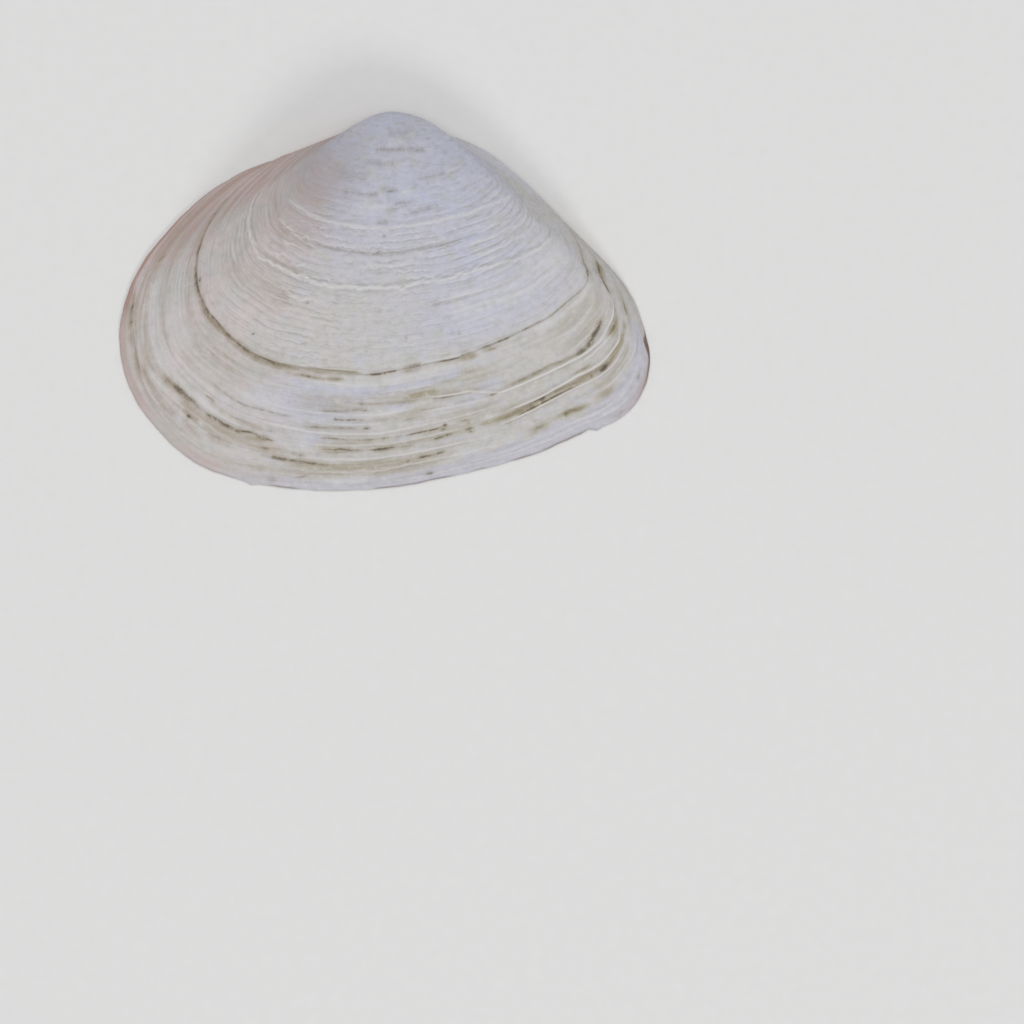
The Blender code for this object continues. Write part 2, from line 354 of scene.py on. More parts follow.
# each line has its height in thousandths of a millimetre, its width and its waviness in thousandths of
# the growth, and its path: points as thousandths of the edge from the beak, and of the growth
WAVY_RIDGE = [(230, 600), (260, 572), (290, 556), (320, 537), (357, 525), (470, 520), (500, 515),
    (534, 520), (587, 522), (600, 517), (643, 523), (682, 530), (757, 540), (800, 550)]
RIDGES = [
    # on the young shell
    (30, 4, 1, [(511, 383), (604, 383)]),
    (60, 4.8, 1.2, [(200, 475), (219, 460), (270, 412), (320, 392), (450, 387), (604, 385), (660, 385),
        (710, 392)]),
    (40, 4, 1, [(357, 401), (410, 399)]),
    (45, 4, 2, [(449, 470), (533, 470)]),
    (90, 3.4, 3, WAVY_RIDGE),
    (60, 4, 5, [(557, 562), (643, 564)]),
    (50, 4.5, 1, [(270, 605), (309, 583), (376, 571), (434, 570)]),
    (50, 4.5, 1, [(268, 640), (300, 622), (376, 604), (420, 602)]),
    (50, 4, 1, [(280, 470), (307, 445), (339, 438)]),
    (50, 4, 1, [(270, 495), (300, 470), (376, 460)]),
    (50, 4, 1, [(270, 522), (300, 500), (376, 489)]),
    (45, 4, 1.5, [(634, 422), (685, 422)]),
    (85, 4.2, 3, [(593, 440), (650, 437), (705, 442)]),
    (75, 4, 3, [(620, 465), (670, 465)]),
    (85, 4, 5, [(603, 497), (625, 500)]),
    (85, 4, 5, [(638, 498), (664, 500)]),
    (80, 4.2, 2, [(676, 520), (701, 524), (727, 538), (761, 556)]),
    (40, 4.5, 1, [(684, 584), (709, 595), (745, 606)]),
    # at the winter ring
    (60, 8, 1, [(262, 726), (283, 729), (296, 728), (320, 717), (340, 712)]),
    (60, 7, 1, [(262, 742), (278, 762), (291, 772), (308, 765), (335, 752)]),
    (45, 2.6, 0.8, [(500, 709), (517, 705), (531, 707), (548, 711), (554, 705), (562, 709), (600, 717)]),
    (35, 2.6, 0.6, [(385, 703), (410, 708), (440, 707), (470, 707)]),
    (30, 2.2, 1.5, [(565, 750), (597, 748)]),
    (30, 2.2, 1.5, [(560, 757), (590, 755)]),
    # on the later shell, rear
    (60, 3, 0.6, [(270, 792), (282, 796), (291, 803), (325, 803)]),
    (140, 4.8, 0.5, [(241, 824), (250, 826), (273, 827), (285, 831)]),
    (120, 3.2, 0.5, [(270, 827), (289, 835), (303, 829), (321, 822), (337, 824), (383, 825), (407, 801),
        (434, 796), (457, 785)]),
    (45, 2.6, 0.5, [(375, 831), (415, 830), (463, 823)]),
    (60, 3, 0.5, [(260, 855), (293, 843), (330, 838)]),
    (130, 3.2, 0.5, [(250, 850), (265, 858), (274, 873), (293, 872), (306, 867), (321, 860), (333, 865),
        (347, 871), (390, 874)]),
    (90, 2.8, 0.5, [(262, 886), (273, 892), (287, 897), (301, 892), (324, 885), (347, 891), (369, 895),
        (400, 905)]),
    (50, 3.5, 1, [(216, 909), (227, 905), (240, 890)]),
    (60, 4, 1, [(240, 945), (280, 925), (330, 915)]),
    # and on the belly side and the front
    (40, 6, 1, [(560, 772), (720, 772)]),
    (40, 6, 1, [(600, 802), (760, 800)]),
    (50, 7, 1, [(620, 845), (780, 840)]),
    (60, 8, 1, [(590, 875), (640, 879), (740, 870)]),
    (60, 7, 1, [(580, 920), (640, 912), (690, 928), (760, 925)]),
    (60, 8, 1, [(570, 958), (660, 966), (720, 938), (780, 938)]),
    (40, 4, 1, [(400, 745), (580, 742)]),
    (50, 3.2, 1, [(420, 764), (500, 760)]),
    (45, 3, 1, [(450, 812), (600, 815)]),
    (40, 3, 1, [(470, 833), (560, 839)]),
    (50, 3.2, 1, [(390, 855), (550, 860), (620, 852)]),
    (45, 3, 1, [(400, 888), (470, 886), (560, 889)]),
    (45, 3, 1, [(380, 922), (470, 920), (560, 922)]),
    (50, 4, 2, [(380, 950), (470, 948), (550, 957)]),
    (40, 3.5, 1.5, [(260, 956), (340, 964), (440, 975)]),
    (40, 3, 1.5, [(280, 974), (360, 979), (480, 985)]),
]
WAVY_SHADE = 7.5
GROOVES = [
    (90, 4.2, 0.5, WINTER_GROOVE),
    (70, 8, 0.5, [(180, 800), (201, 761), (233, 716), (247, 711), (262, 712)]),
    (90, 6, 0.5, [(190, 880), (198, 868), (221, 818), (235, 808), (242.5, 816)]),
    (60, 5, 0.5, [(215, 900), (220, 903), (227, 917), (241, 902), (255, 900)]),
    (45, 4, 1, [(200, 505), (240, 475), (300, 450), (362, 446), (500, 442), (600, 440), (700, 436),
        (760, 442)]),
    (60, 3.6, 3, [(place, size - WAVY_SHADE) for place, size in WAVY_RIDGE]),
    (40, 4, 1, [(309, 580), (434, 577)]),
    (40, 4, 1, [(268, 625), (300, 612), (376, 597)]),
    (30, 3, 1, [(483, 373), (516, 373)]),
    (30, 3, 1, [(488, 403), (500, 403)]),
    (24, 5, 1, [(383, 215), (450, 205), (535, 204)]),
    (16, 8, 1, [(416, 160), (508, 160)]),
    (18, 5, 1, [(492, 238), (554, 238)]),
    (18, 5, 1, [(350, 281), (400, 281)]),
    (24, 5, 1, [(469, 303), (505, 303)]),
    (20, 4, 1, [(515, 312), (584, 312)]),
    (20, 8, 1, [(548, 270), (646, 270)]),
    (24, 3.5, 1, [(429, 333), (472, 333)]),
    (24, 3, 1, [(469, 347), (492, 347)]),
    (24, 3.5, 1, [(386, 357), (442, 357)]),
    (50, 2.6, 0.5, [(461, 903), (476, 899), (501, 899), (538, 900)]),
    (40, 2.6, 0.5, [(413, 876), (493, 873), (543, 875)]),
    (40, 2.6, 0.5, [(425, 892), (440, 897), (451, 899)]),
    (60, 5, 0.5, [(275, 885), (296, 884), (311, 875), (325, 872), (357, 880), (398, 888)]),
    (50, 4, 0.5, [(260, 836), (290, 824), (304, 820), (333, 811), (381, 817)]),
    (40, 3, 1, [(523, 936), (543, 936), (582, 933)]),
    (50, 3.5, 1, [(575, 896), (587, 893), (593, 887), (603, 895), (624, 893), (652, 893), (672, 900),
        (683, 906)]),
    (20, 2.5, 0.5, [(558, 832), (607, 835), (632, 831), (649, 827)]),
    (30, 6, 1, [(692, 950), (737, 963), (766, 978)]),
]
RIDGE_FADE = 0.03
GROOVE_FADE = 0.02
THIN_END = 0.6
SHARP_RIDGE = 30.0
# the sheets: height in mm, number from beak to rim, raggedness, and the growth where they start and end
SHEETS = [(0.039, 46.0, 0.9, 0.28, 0.50), (0.045, 60.0, 1.0, 0.42, 0.71), (0.028, 80.0, 0.5, 0.73, 0.985)]
SHEET_START = 0.06
SHEET_END = 0.03
SHEET_FALL = 0.25
SHEET_GAPS = (0.15, 0.6)
CRUMB = 0.014 * MM
CRUMB_START = (0.36, 0.46)
CRUMB_LEAST = 0.25
EVEN_RIM = (0.985, 1.0)
EVENED = 0.8
# waves along the edge, and the share of each
WAVES = [(11.0, 0.5), (19.0, 0.5), (33.0, 0.45), (54.0, 0.35), (81.0, 0.25)]
GROOVE_SEED = 100
SHEET_SEED = 200


def wander(seed):
    """A line that wavers between about -1 and 1 along the edge."""
    phases = np.random.default_rng(seed).uniform(0.0, 2.0 * np.pi, len(WAVES))
    waver = np.zeros(along.shape)
    for (wave, share), phase in zip(WAVES, phases):
        waver += share * np.sin(2.0 * np.pi * wave * along + phase)
    return waver


def patches(columns, rows, seed):
    """Soft random patches from 0 to 1, so many along the edge and so many from the beak to the rim."""
    lattice = np.random.default_rng(seed).uniform(0.0, 1.0, (rows + 2, columns + 1))
    lattice[:, -1] = lattice[:, 0]
    u, v = along * columns, np.broadcast_to(growth, along.shape) * rows
    left, low = np.minimum(u.astype(int), columns - 1), v.astype(int)
    s, t = ramp(u - left, 0.0, 1.0), ramp(v - low, 0.0, 1.0)
    below = lattice[low, left] * (1.0 - s) + lattice[low, left + 1] * s
    above = lattice[low + 1, left] * (1.0 - s) + lattice[low + 1, left + 1] * s
    return below * (1.0 - t) + above * t


def line(path, width, waver, seed, fade):
    """1 on the middle of a line and 0 off it. It grows thin and faint towards its ends."""
    start, end = path[0][0] / 1000, path[-1][0] / 1000
    fade = min(fade, (end - start) / 2)
    taper = ramp(along, start, start + fade) * ramp(along, end, end - fade)
    middle = trace(path) + waver / 1000 * wander(seed)
    return swell(growth, middle, width / 1000 * (THIN_END + (1.0 - THIN_END) * taper)) * taper


# the sheets are most ragged on the belly side, smoother over the rear half and boldest at the front
ragged = 0.35 + 0.9 * swell(along, 0.52, 0.08)
smooth_rear = ramp(growth, 0.50, 0.58) * ramp(along, 0.58, 0.50)
bold_front = ramp(along, 0.55, 0.62) * ramp(along, 0.80, 0.72) * swell(growth, 0.56, 0.11)
scaly = 1.0 - 0.45 * smooth_rear + 0.5 * bold_front

height = np.zeros(along.shape)
worn_crest = np.zeros(along.shape)
for number, (rise, width, waver, path) in enumerate(RIDGES):
    height += rise / 1000 * MM * line(path, width, waver, number, RIDGE_FADE)
    sharpness = min(rise / width / SHARP_RIDGE, 1.0)
    worn_crest = np.maximum(worn_crest, sharpness * line(path, width / 2, waver, number, RIDGE_FADE))
for number, (depth, width, waver, path) in enumerate(GROOVES):
    height -= depth / 1000 * MM * line(path, width, waver, GROOVE_SEED + number, GROOVE_FADE)
for number, (rise, crowding, waver, start, end) in enumerate(SHEETS):
    bend = patches(8, 7, SHEET_SEED + 10 + number) - 0.5
    tatters = ragged * (patches(64, 26, SHEET_SEED + number) - 0.5)
    part = (growth * crowding + bend + waver * tatters) % 1.0
    sheet = np.minimum(part / (1.0 - SHEET_FALL), (1.0 - part) / SHEET_FALL)
    strength = scaly * ramp(patches(16, 60, SHEET_SEED + 20 + number), *SHEET_GAPS)
    strength = strength * ramp(growth, start, start + SHEET_START) * ramp(growth, end, end - SHEET_END)
    height += rise * MM * (sheet - 0.5) * strength
crumbly = CRUMB_LEAST + (1.0 - CRUMB_LEAST) * ramp(growth, *CRUMB_START)
height += CRUMB * (patches(260, 150, SHEET_SEED + 30) - 0.5) * crumbly
height *= clear_of_hinge * (1.0 - EVENED * ramp(growth, *EVEN_RIM))
outside = plain_outside + outward * (height + young_rise)[..., None]

# the edge wavers a little, with a nub on the belly side and a nick at the rear: place, width, size
EDGE_WAVER = 0.03 * MM
EDGE_MARKS = [(0.580, 0.0032, 0.22 * MM), (0.3265, 0.0024, 0.12 * MM), (0.3325, 0.0028, -0.14 * MM)]
EDGE_BAND = (0.975, 1.0)
EDGE_SEED = 700

nudge = EDGE_WAVER * wander(EDGE_SEED)[0] * clear_of_hinge[-1]
for mark_place, mark_width, mark_size in EDGE_MARKS:
    nudge += mark_size * swell(edge_along, mark_place, mark_width)
edge_run = np.roll(grown_edge, -1, 0) - np.roll(grown_edge, 1, 0)
edge_run /= np.linalg.norm(edge_run, axis=1, keepdims=True)
edge_nudge = np.stack([-edge_run[:, 1], edge_run[:, 0]], axis=1) * nudge[:, None]
outside[..., :2] += edge_nudge * ramp(growth, *EDGE_BAND)[..., None]
outside[..., 2] += LIP
plain_outside[..., 2] += LIP


# The rim and the inside: a flat rim that lay on the other valve, with the socket of the hinge under the
# beak and two small teeth in it, and a smooth bowl. The muscles that shut the shell left two dull scars,
# and the skirt of the clam left a line between them with a deep bay at the rear.

EDGE_ROUND = 0.12 * MM
EDGE_HEIGHT = 0.4 * LIP
RIM_WIDTH = 1.0 * MM
HINGE_WIDTH = 2.2 * MM
HINGE_REACH = 0.07
WALL = 0.8 * MM
STEEPEST = 0.35
BOWL_SLOPE = 1.8
BOWL_ROUND = 0.5 * MM
FLOOR_SLOPE = 0.08
FLOOR_ROUND = 0.2 * MM
RIM_EASE = (0.1 * MM, 1.0 * MM)
BOWL_MIDDLE = (-0.6 * MM, -16.5 * MM)
SOCKET = (0.3 * MM, -1.45 * MM)
SOCKET_SIZE = (2.7 * MM, 0.62 * MM)
SOCKET_DEPTH = 0.6 * MM
SOCKET_SIDE = (1.0, 0.55)
TEETH = [(-0.55 * MM, -0.35), (0.95 * MM, 0.45)]
TOOTH_WIDTH = 0.3 * MM
TOOTH_TOP = 0.12 * MM
RIM_ROWS = 8
BOWL_ROWS = 22
BOWL_CROWDING = 1.4
MEASURED_EVERY = 3


def sideways(curve, distance):
    """The closed curve moved into the shell by a distance given for each point."""
    tangent = np.roll(curve, -1, 0) - np.roll(curve, 1, 0)
    tangent /= np.linalg.norm(tangent, axis=1, keepdims=True)
    return curve + np.stack([tangent[:, 1], -tangent[:, 0]], axis=1) * distance[:, None]


def socket_height(points):
    """How far the hinge plate is hollowed out above the rim plane, less the two teeth in the hollow."""
    x, y = points[:, 0] - SOCKET[0], points[:, 1] - SOCKET[1]
    fall = np.sqrt((x / SOCKET_SIZE[0]) ** 2 + (y / SOCKET_SIZE[1]) ** 2)
    hollow = SOCKET_DEPTH * ramp(fall, *SOCKET_SIDE)
    for start, lean in TEETH:
        tooth = swell(points[:, 0], start + lean * (SOCKET[1] - points[:, 1]), TOOTH_WIDTH)
        hollow = hollow - np.maximum(hollow - TOOTH_TOP, 0.0) * tooth
    return hollow


def bowl_height(shell, place, reach):
    """The height of the inside over a place: the outside less the wall, and steep at the rim."""
    # the ray starts a metre above the shell and looks down
    hit, normal, _, _ = shell.ray_cast(Vector((place[0], place[1], 1.0)), Vector((0.0, 0.0, -1.0)))
    under = hit.z - WALL / max(abs(normal.z), STEEPEST)
    steep, low = BOWL_SLOPE * reach, FLOOR_SLOPE * reach
    shallow = (under + steep - np.sqrt((under - steep) ** 2 + BOWL_ROUND**2)) / 2
    floor_height = (shallow + low + np.sqrt((shallow - low) ** 2 + FLOOR_ROUND**2)) / 2
    return max(floor_height - RIM_EASE[0] * swell(reach, 0.0, RIM_EASE[1]), 0.0)


def strips(rows, columns):
    """The four-sided faces between neighbouring closed rows of points."""
    faces = []
    for row in range(rows - 1):
        low, high = row * columns, (row + 1) * columns
        for column in range(columns):
            following = (column + 1) % columns
            faces.append((low + column, low + following, high + following, high + column))
    return faces


from_beak = np.minimum(edge_along, 1.0 - edge_along)
rim_width = RIM_WIDTH + (HINGE_WIDTH - RIM_WIDTH) * swell(from_beak, 0.0, HINGE_REACH)
rim = [np.c_[grown_edge, np.full(COLUMNS, EDGE_HEIGHT)]]
for part in np.linspace(0.0, 1.0, RIM_ROWS):
    flat = sideways(grown_edge, EDGE_ROUND + (rim_width - EDGE_ROUND) * part)
    rim.append(np.c_[flat, socket_height(flat)])
rim = np.array(rim)
rim[:, :, :2] += edge_nudge * np.linspace(1.0, 0.0, len(rim))[:, None, None]

# the bowl is measured from the outside as it is without its growth lines, on every third row
measured = plain_outside[::MEASURED_EVERY]
measured_points = [Vector(point) for point in measured.reshape(-1, 3)]
shell_tree = BVHTree.FromPolygons(measured_points, strips(len(measured), COLUMNS))
bowl_start, bowl_middle = rim[-1][:, :2], np.array(BOWL_MIDDLE)
bowl = []
for part in np.linspace(0.0, 1.0, BOWL_ROWS + 1)[1:-1] ** BOWL_CROWDING:
    plan = bowl_start + (bowl_middle - bowl_start) * part
    reach = np.linalg.norm(plan - bowl_start, axis=1)
    bowl.append(np.c_[plan, [bowl_height(shell_tree, place, depth) for place, depth in zip(plan, reach)]])
bowl = np.array(bowl)
peak_reach = np.linalg.norm(bowl_start - bowl_middle, axis=1).min()
peak = [*bowl_middle, bowl_height(shell_tree, bowl_middle, peak_reach)]


# The shell is one closed mesh of the outside, the rim and the bowl, because it grew in one piece.
# A single point closes it at the tip of the beak, and another one in the middle of the bowl.

# the point of the beak, as shares of the middle of the smallest growth line
BEAK_POINT = (0.0, 0.75, 0.75)

rows = np.concatenate([outside, rim, bowl])
points = rows.reshape(-1, 3)
faces = strips(len(rows), COLUMNS)
tip, middle, last = len(points), len(points) + 1, len(points) - COLUMNS
points = np.vstack([points, outside[0].mean(axis=0) * BEAK_POINT, peak])
for column in range(COLUMNS):
    following = (column + 1) % COLUMNS
    faces.append((following, column, tip))
    faces.append((last + column, last + following, middle))
points[:, :2] += COIL_AXIS

valve_mesh = bpy.data.meshes.new("clam_valve")
valve_mesh.from_pydata(points.tolist(), [], faces)
valve_mesh.flip_normals()
valve_mesh.shade_smooth()


def keep(name, over_outside, over_inside=0.0):
    """Keeps a value for each point of the mesh, for the finishes to read."""
    inside_shape = (len(rim) + len(bowl), COLUMNS)
    values = np.zeros(len(points), np.float32)
    values[: outside.shape[0] * COLUMNS] = np.broadcast_to(over_outside, along.shape).ravel()
    values[outside.shape[0] * COLUMNS : tip] = np.broadcast_to(over_inside, inside_shape).ravel()
    values[tip] = values[:COLUMNS].mean()
    values[middle] = values[last:tip].mean()
    valve_mesh.attributes.new(name, "FLOAT", "POINT").data.foreach_set("value", values)


# The dirt, the bleaching and the painted light: olive-brown dirt stays in the grooves that the sea can't
# scour, the crests of the ridges are white, partly worn and partly a painted highlight, and painted shade
# lies in the hollows. It is colour only and has no thickness. The widths, the waviness and the points of the
# paths are in thousandths, as those of the growth lines are.

# each stain has its darkness, its width, its waviness and its path
STAINS = [
    # in the winter ring, from the rear end round to the front
    (0.6, 7, 0.5, [(180, 800), (201, 761), (233, 718), (247, 712)]),
    (1.2, 7.5, 0.5, [(228, 722), (241, 713), (253, 711), (268, 717)]),
    (0.7, 5, 0.5, [(196, 872), (221, 818), (235, 808), (244, 818)]),
    (0.9, 7, 0.5, [(230, 810), (240, 812), (248, 824)]),
    (0.45, 2.4, 0.5, [(284, 735), (301, 727), (308, 722)]),
    (0.4, 2.4, 0.3, [(270, 718), (300, 709), (322, 704)]),
    (0.6, 2.4, 0.3, [(318, 704), (347, 705)]),
    (0.65, 2.8, 0.4, [(346, 706), (362, 708), (392, 710)]),
    (0.4, 2.4, 0.3, [(365, 721), (386, 718)]),
    (0.7, 2.4, 0.4, [(391, 710), (404, 709), (411, 717), (436, 714)]),
    (0.6, 5, 0.8, [(437, 712), (456, 712), (472, 712)]),
    (0.75, 2.2, 0.3, [(438, 708), (470, 706)]),
    (0.4, 5, 0.6, [(445, 722), (472, 718)]),
    (0.95, 2.6, 0.4, [(468, 714), (482, 714), (494, 716), (509, 717)]),
    (0.3, 5, 0.6, [(505, 713), (535, 713), (570, 720)]),
    (0.55, 2.4, 0.3, [(545, 736), (558, 736), (575, 734)]),
    (0.35, 2.8, 0.8, [(522, 731), (545, 734)]),
    (0.66, 2.6, 0.3, [(565, 722), (589, 724), (629, 725), (657, 717), (673, 713), (704, 720), (715, 728)]),
    (0.42, 7, 0.6, [(575, 726), (620, 727), (657, 719), (704, 722), (722, 732)]),
    (0.7, 6, 0.5, [(700, 720), (725, 735), (750, 742)]),
    (0.8, 5, 0.3, [(716, 714), (722, 718), (728, 721)]),
    (0.62, 7.5, 1, [(742, 741), (770, 743), (794, 757)]),
    (0.5, 10, 1, [(780, 750), (807, 771), (848, 788)]),
    # on the shell of the later years: from the ring to the two rear ridges
    (0.7, 2.4, 0.5, [(411, 800), (422, 800), (441, 799)]),
    (0.7, 3.4, 0.5, [(434, 797), (441, 800)]),
    (0.3, 2.4, 1, [(452, 796), (486, 788), (517, 784)]),
    (0.6, 3, 1, [(503, 788), (510, 786)]),
    (0.4, 2.2, 1, [(498, 797), (522, 804), (536, 808), (548, 810)]),
    (0.5, 2.2, 1, [(497, 803), (508, 802)]),
    (0.85, 5, 0.6, [(270, 801), (281, 807), (289, 814), (297, 821), (320, 819)]),
    (0.7, 3, 0.5, [(290, 827), (298, 824)]),
    (0.75, 3.4, 0.5, [(300, 826), (308, 822)]),
    (0.4, 2.6, 0.4, [(305, 820), (333, 812), (381, 818)]),
    (0.6, 2.6, 0.4, [(378, 820), (391, 825), (400, 824)]),
    (0.35, 2, 0.4, [(400, 824), (427, 821)]),
    (0.3, 2, 0.4, [(425, 824), (463, 818)]),
    (0.55, 2.6, 0.6, [(498, 828), (513, 825), (532, 825)]),
    (0.65, 3.4, 0.6, [(524, 826), (531, 825)]),
    (0.45, 1.8, 0.4, [(558, 832), (590, 832), (607, 835), (632, 831), (650, 827)]),
    (0.3, 1.8, 0.4, [(638, 777), (652, 777), (668, 774)]),
    (0.35, 1.8, 0.4, [(592, 871), (617, 868)]),
    (0.5, 5, 1, [(260, 846), (284, 843)]),
    (0.6, 4, 0.6, [(277, 877), (285, 874), (294, 870)]),
    (0.7, 4, 0.6, [(248, 829), (256, 832), (266, 831)]),
    (0.45, 5, 0.6, [(225, 915), (241, 902), (252, 900)]),
    (0.45, 2.2, 0.4, [(312, 853), (326, 853)]),
    (0.45, 2.2, 0.4, [(332, 862), (344, 862)]),
    (0.85, 3.4, 0.2, [(495, 846), (507, 846)]),
    (0.45, 2, 0.6, [(503, 844), (523, 845), (557, 850)]),
    (0.35, 1.8, 0.6, [(452, 836), (463, 833), (471, 838)]),
    # in the band between the two rear ridges
    (0.4, 6, 0.6, [(276, 885), (296, 884), (311, 875), (325, 872), (357, 880), (400, 890)]),
    (0.95, 5.2, 0.5, [(288, 887), (308, 881)]),
    (0.6, 4.5, 0.5, [(302, 882), (318, 876)]),
    (0.9, 4.4, 0.5, [(340, 875), (364, 882)]),
    (0.8, 2.2, 0.3, [(318, 880), (347, 887), (380, 894)]),
    (0.45, 4, 0.5, [(357, 882), (400, 890)]),
    (0.5, 2, 0.3, [(372, 901), (395, 907)]),
    (0.4, 5, 1, [(274, 878), (291, 874)]),
    (0.45, 2.6, 1, [(303, 861), (321, 853)]),
    # along the belly side
    (0.6, 2.4, 0.5, [(410, 872), (424, 867)]),
    (0.55, 2.4, 0.4, [(412, 878), (419, 876)]),
    (0.8, 3, 0.4, [(410, 893), (420, 890)]),
    (0.45, 2.2, 0.4, [(410, 901), (418, 899)]),
    (0.85, 3, 0.4, [(430, 870), (438, 870)]),
    (0.55, 3, 0.4, [(431, 879), (440, 879)]),
    (0.6, 2.2, 0.5, [(432, 873), (453, 874), (472, 874)]),
    (0.85, 2.8, 0.4, [(470, 874), (476, 874)]),
    (0.8, 2.6, 0.4, [(478, 874), (490, 873)]),
    (0.5, 2.2, 0.5, [(488, 873), (507, 875), (532, 871), (543, 875)]),
    (0.35, 2.2, 0.5, [(504, 881), (520, 879)]),
    (0.6, 2.6, 0.5, [(423, 892), (440, 897), (452, 899)]),
    (0.85, 3.4, 0.3, [(436, 896), (447, 898)]),
    (0.55, 2.4, 0.3, [(458, 903), (476, 899)]),
    (1.0, 2.8, 0.3, [(471, 900), (489, 899), (502, 899)]),
    (0.72, 2.6, 0.5, [(500, 899), (521, 897), (539, 900)]),
    (0.45, 2.6, 0.6, [(512, 904), (541, 906)]),
    (0.65, 2.4, 0.5, [(431, 932), (442, 935), (462, 935)]),
    (0.8, 3.2, 0.3, [(452, 936), (460, 935)]),
    (0.45, 3, 0.3, [(484, 954), (490, 957), (497, 964)]),
    (0.55, 3.4, 0.2, [(465, 940), (469, 940)]),
    (0.65, 3.4, 0.2, [(446, 982), (457, 982)]),
    (0.8, 2.8, 0.4, [(522, 936), (543, 936), (558, 933), (584, 932)]),
    (0.6, 3.4, 0.4, [(543, 920), (553, 918), (562, 913)]),
    (0.4, 2, 0.3, [(536, 956), (541, 964), (547, 971), (556, 974)]),
    # at the front
    (0.62, 6.4, 0.6, [(632, 894), (652, 892), (663, 893), (674, 901), (692, 911)]),
    (0.7, 6, 0.6, [(657, 892), (668, 896)]),
    (0.6, 5, 0.6, [(637, 894), (648, 893)]),
    (0.8, 4, 0.4, [(640, 924), (648, 924)]),
    (0.64, 3.2, 0.6, [(568, 897), (587, 893), (593, 887), (603, 895), (624, 893), (640, 895)]),
    (0.85, 2.8, 0.4, [(602, 895), (614, 893), (622, 893)]),
    (0.8, 3.6, 0.4, [(574, 896), (590, 891)]),
    (0.4, 5, 0.6, [(604, 931), (614, 927), (627, 929)]),
    (0.5, 3, 0.4, [(573, 915), (585, 915)]),
    (0.6, 2.6, 0.4, [(628, 861), (644, 860)]),
    (0.5, 2.4, 0.4, [(574, 874), (583, 875)]),
    (0.34, 9, 1, [(684, 946), (699, 950), (716, 955)]),
    (0.5, 9, 0.8, [(735, 963), (747, 964), (768, 980)]),
    (0.7, 5, 0.4, [(734, 963), (741, 963)]),
    (0.45, 10, 2, [(778, 916), (786, 906)]),
    # near the rear rim
    (0.45, 5, 0.6, [(322, 933), (331, 938), (337, 934), (347, 936)]),
    (0.7, 5, 0.4, [(337, 939), (344, 938)]),
    (0.75, 3.6, 0.4, [(298, 932), (306, 929), (314, 932)]),
    (0.4, 3.6, 0.4, [(354, 942), (375, 940)]),
    (0.5, 5, 0.2, [(276, 970), (281, 971)]),
    (0.45, 2.6, 0.3, [(296, 994), (308, 990), (318, 986)]),
    (0.6, 4, 0.3, [(562, 987), (571, 987)]),
    # on the young shell
    (0.5, 2.6, 0.5, [(493, 439), (510, 439)]),
    (0.3, 2.2, 0.5, [(362, 446), (500, 442), (600, 440), (700, 436)]),
    (0.4, 2.6, 0.5, [(482, 373), (517, 373)]),
    (0.4, 2.6, 0.5, [(487, 403), (501, 403)]),
    (0.3, 2.2, 1, [(309, 580), (434, 577)]),
    (0.35, 2.6, 0.5, [(411, 703), (430, 700)]),
    (0.4, 3.6, 0.2, [(417, 638), (425, 638)]),
    (0.4, 3.6, 0.2, [(459, 640), (465, 640)]),
    (0.35, 3.6, 0.2, [(365, 610), (371, 610)]),
    (0.35, 3.6, 0.2, [(400, 658), (406, 658)]),
    (0.4, 3.6, 0.2, [(504, 664), (510, 664)]),
    (0.6, 2.4, 0.2, [(625, 683), (631, 683)]),
    (0.5, 3.6, 0.2, [(581, 570), (587, 570)]),
    (0.5, 3.6, 0.2, [(615, 565), (621, 565)]),
    (0.34, 3.4, 1, [(365, 215), (450, 205), (550, 204)]),
    (0.18, 10, 1, [(400, 160), (520, 160)]),
    (0.26, 4.4, 1, [(470, 238), (570, 238)]),
    (0.26, 4.4, 1, [(335, 281), (420, 281)]),
    (0.36, 4, 1, [(462, 303), (515, 303)]),
    (0.3, 4, 1, [(505, 312), (600, 312)]),
    (0.2, 9, 1, [(540, 270), (650, 270)]),
    (0.3, 3.4, 1, [(419, 333), (482, 333)]),
    (0.3, 3, 1, [(461, 347), (500, 347)]),
    (0.3, 3.4, 1, [(376, 357), (452, 357)]),
]

